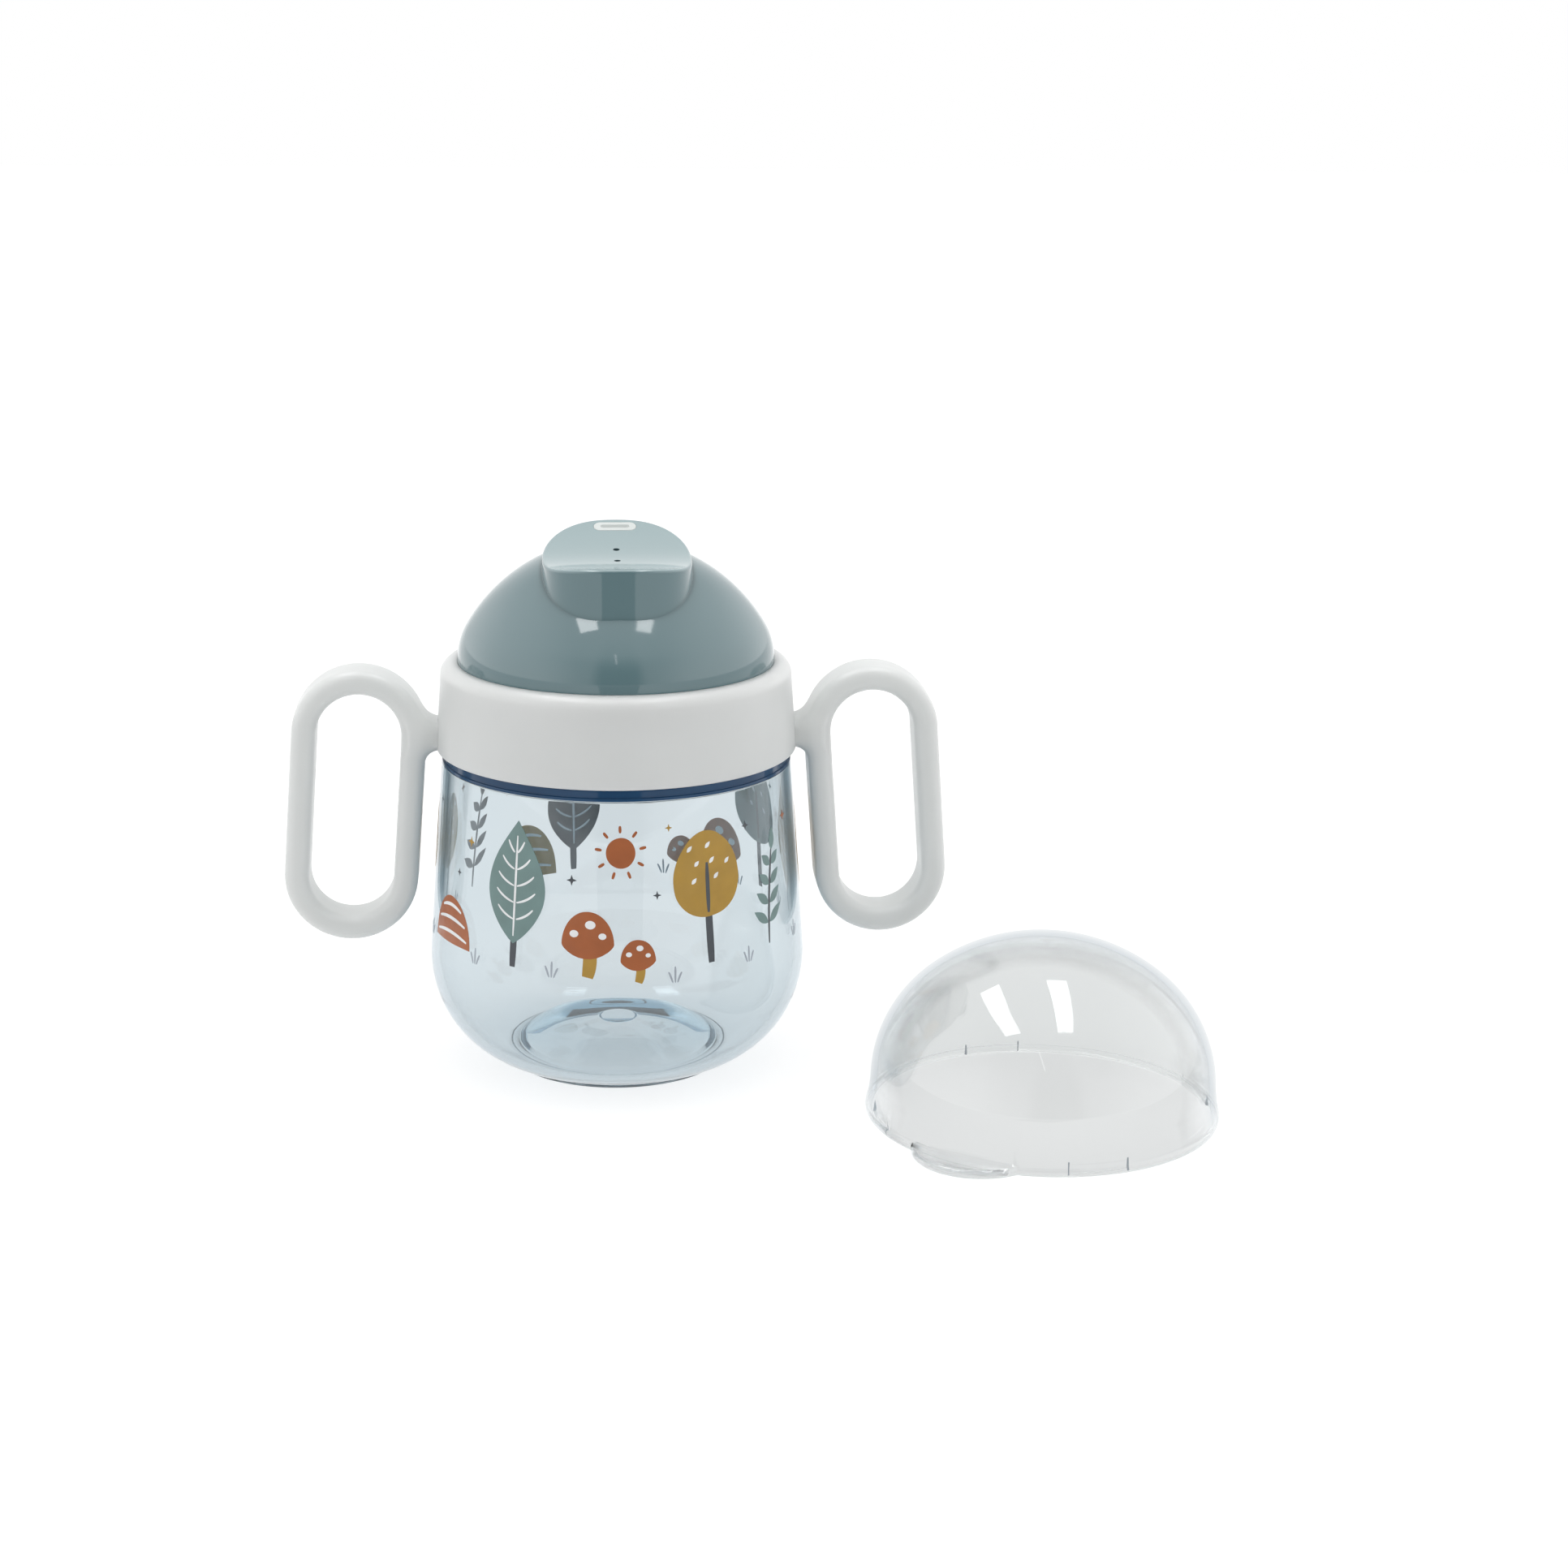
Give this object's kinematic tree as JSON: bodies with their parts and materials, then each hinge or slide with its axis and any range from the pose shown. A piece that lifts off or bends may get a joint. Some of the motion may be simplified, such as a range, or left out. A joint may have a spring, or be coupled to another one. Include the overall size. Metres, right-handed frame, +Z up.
{
  "type": "sippy cup",
  "caption": "Clear flared training cup with a screw collar carrying loop handles, a domed lid with a scooped drinking spout and valve, and a clear dome cap standing beside it.",
  "frame": {"origin": "centre of the cup's foot ring, on the table", "axes": "+Z up along the cup's axis, +X to the right along the two handles, -Y towards the viewer and the vertical front wall of the spout"},
  "size_m": [0.1832, 0.1117, 0.1098],
  "materials": {
    "cup_clear": "clear polished plastic with a pale blue tint",
    "collar_white": "satin white moulded plastic",
    "lid_blue_grey": "polished blue-grey moulded plastic",
    "silicone_white": "matte white silicone",
    "cap_clear": "clear polished plastic"
  },
  "bodies": {
    "cup": {"cup": "cup_clear"},
    "lid": {"lid": "lid_blue_grey", "lid_seal": "silicone_white", "spout_valve": "silicone_white"},
    "collar": {"handle_collar": "collar_white"},
    "cap": {"cap": "cap_clear"}
  },
  "joints": [
    {"name": "lid_lift", "type": "slide", "parent": "cup", "child": "lid", "axis": [0, 0, 1], "range_m": [0, 0.0051]},
    {"name": "collar_twist", "type": "hinge", "parent": "lid", "child": "collar", "pos_m": [0, 0, 0.0714], "axis": [0, 0, 1], "range_deg": [0, 450]},
    {"name": "cap_lift", "type": "slide", "parent": "cup", "child": "cap", "axis": [0, 0, 1], "range_m": [0, 0.125]}
  ],
  "couplings": [
    {"joint": "lid_lift", "follows": "collar_twist", "m_per_rad": 0.00063662}
  ]
}
